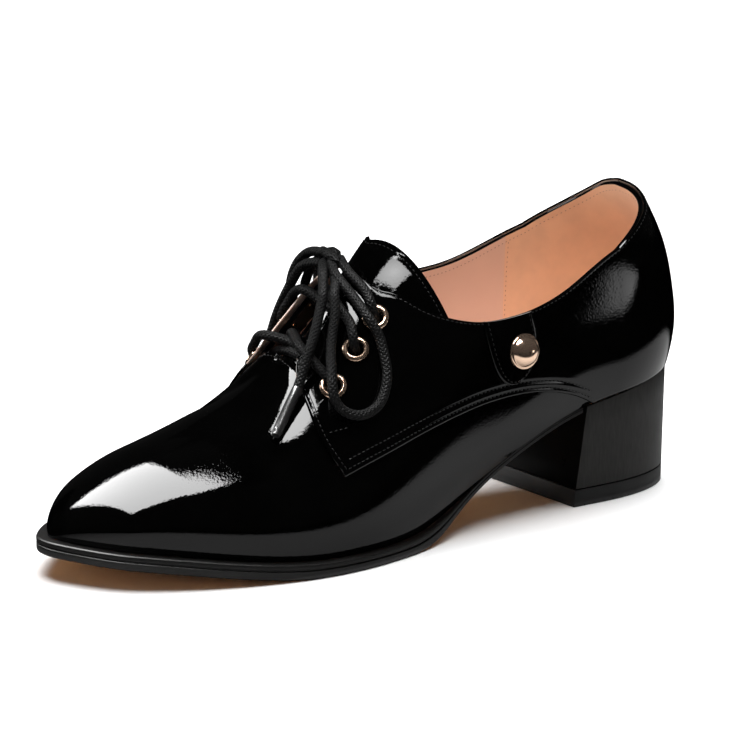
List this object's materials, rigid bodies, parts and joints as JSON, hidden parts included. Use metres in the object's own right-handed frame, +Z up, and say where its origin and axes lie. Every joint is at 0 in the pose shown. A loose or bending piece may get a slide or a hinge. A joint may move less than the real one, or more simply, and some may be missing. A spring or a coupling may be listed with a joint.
{
  "type": "block heel lace-up shoe",
  "caption": "Left women's lace-up shoe with a pointed toe, open-laced front, tied round lace, studded side tab and a low block heel, hollow for the foot.",
  "frame": {"origin": "on the floor under the middle of the shoe's box, measured without the tied bow", "axes": "+X to the toe, +Y to the outer side of the foot, +Z up"},
  "size_m": [0.2484, 0.0861, 0.109],
  "materials": {
    "patent_leather": "high-gloss patent",
    "heel_cover": "satin",
    "heel_rubber": "matt",
    "sole_edge": "satin",
    "sock_leather": "smooth lining leather",
    "gold_metal": "polished pale gold",
    "lace_cord": "waxed round cord",
    "aglet_film": "gloss film"
  },
  "bodies": {
    "root": {"outsole": "sole_edge", "heel_block": "heel_cover", "heel_top_piece": "heel_rubber", "upper": "patent_leather", "quarter_outer": "patent_leather", "quarter_inner": "patent_leather", "tongue": "patent_leather", "insole": "sock_leather", "side_tab": "patent_leather", "tab_stud": "gold_metal", "eyelet_outer_1": "gold_metal", "eyelet_outer_2": "gold_metal", "eyelet_outer_3": "gold_metal", "eyelet_inner_1": "gold_metal", "eyelet_inner_2": "gold_metal", "eyelet_inner_3": "gold_metal", "lace_bar": "lace_cord", "lace_cross_1": "lace_cord", "lace_cross_2": "lace_cord", "lace_tie_outer": "lace_cord", "lace_tie_inner": "lace_cord", "lace_knot": "lace_cord", "lace_loop_outer": "lace_cord", "lace_loop_inner": "lace_cord", "lace_end_outer": "lace_cord", "lace_end_inner": "lace_cord", "aglet_outer": "aglet_film", "aglet_inner": "aglet_film"}
  },
  "joints": []
}
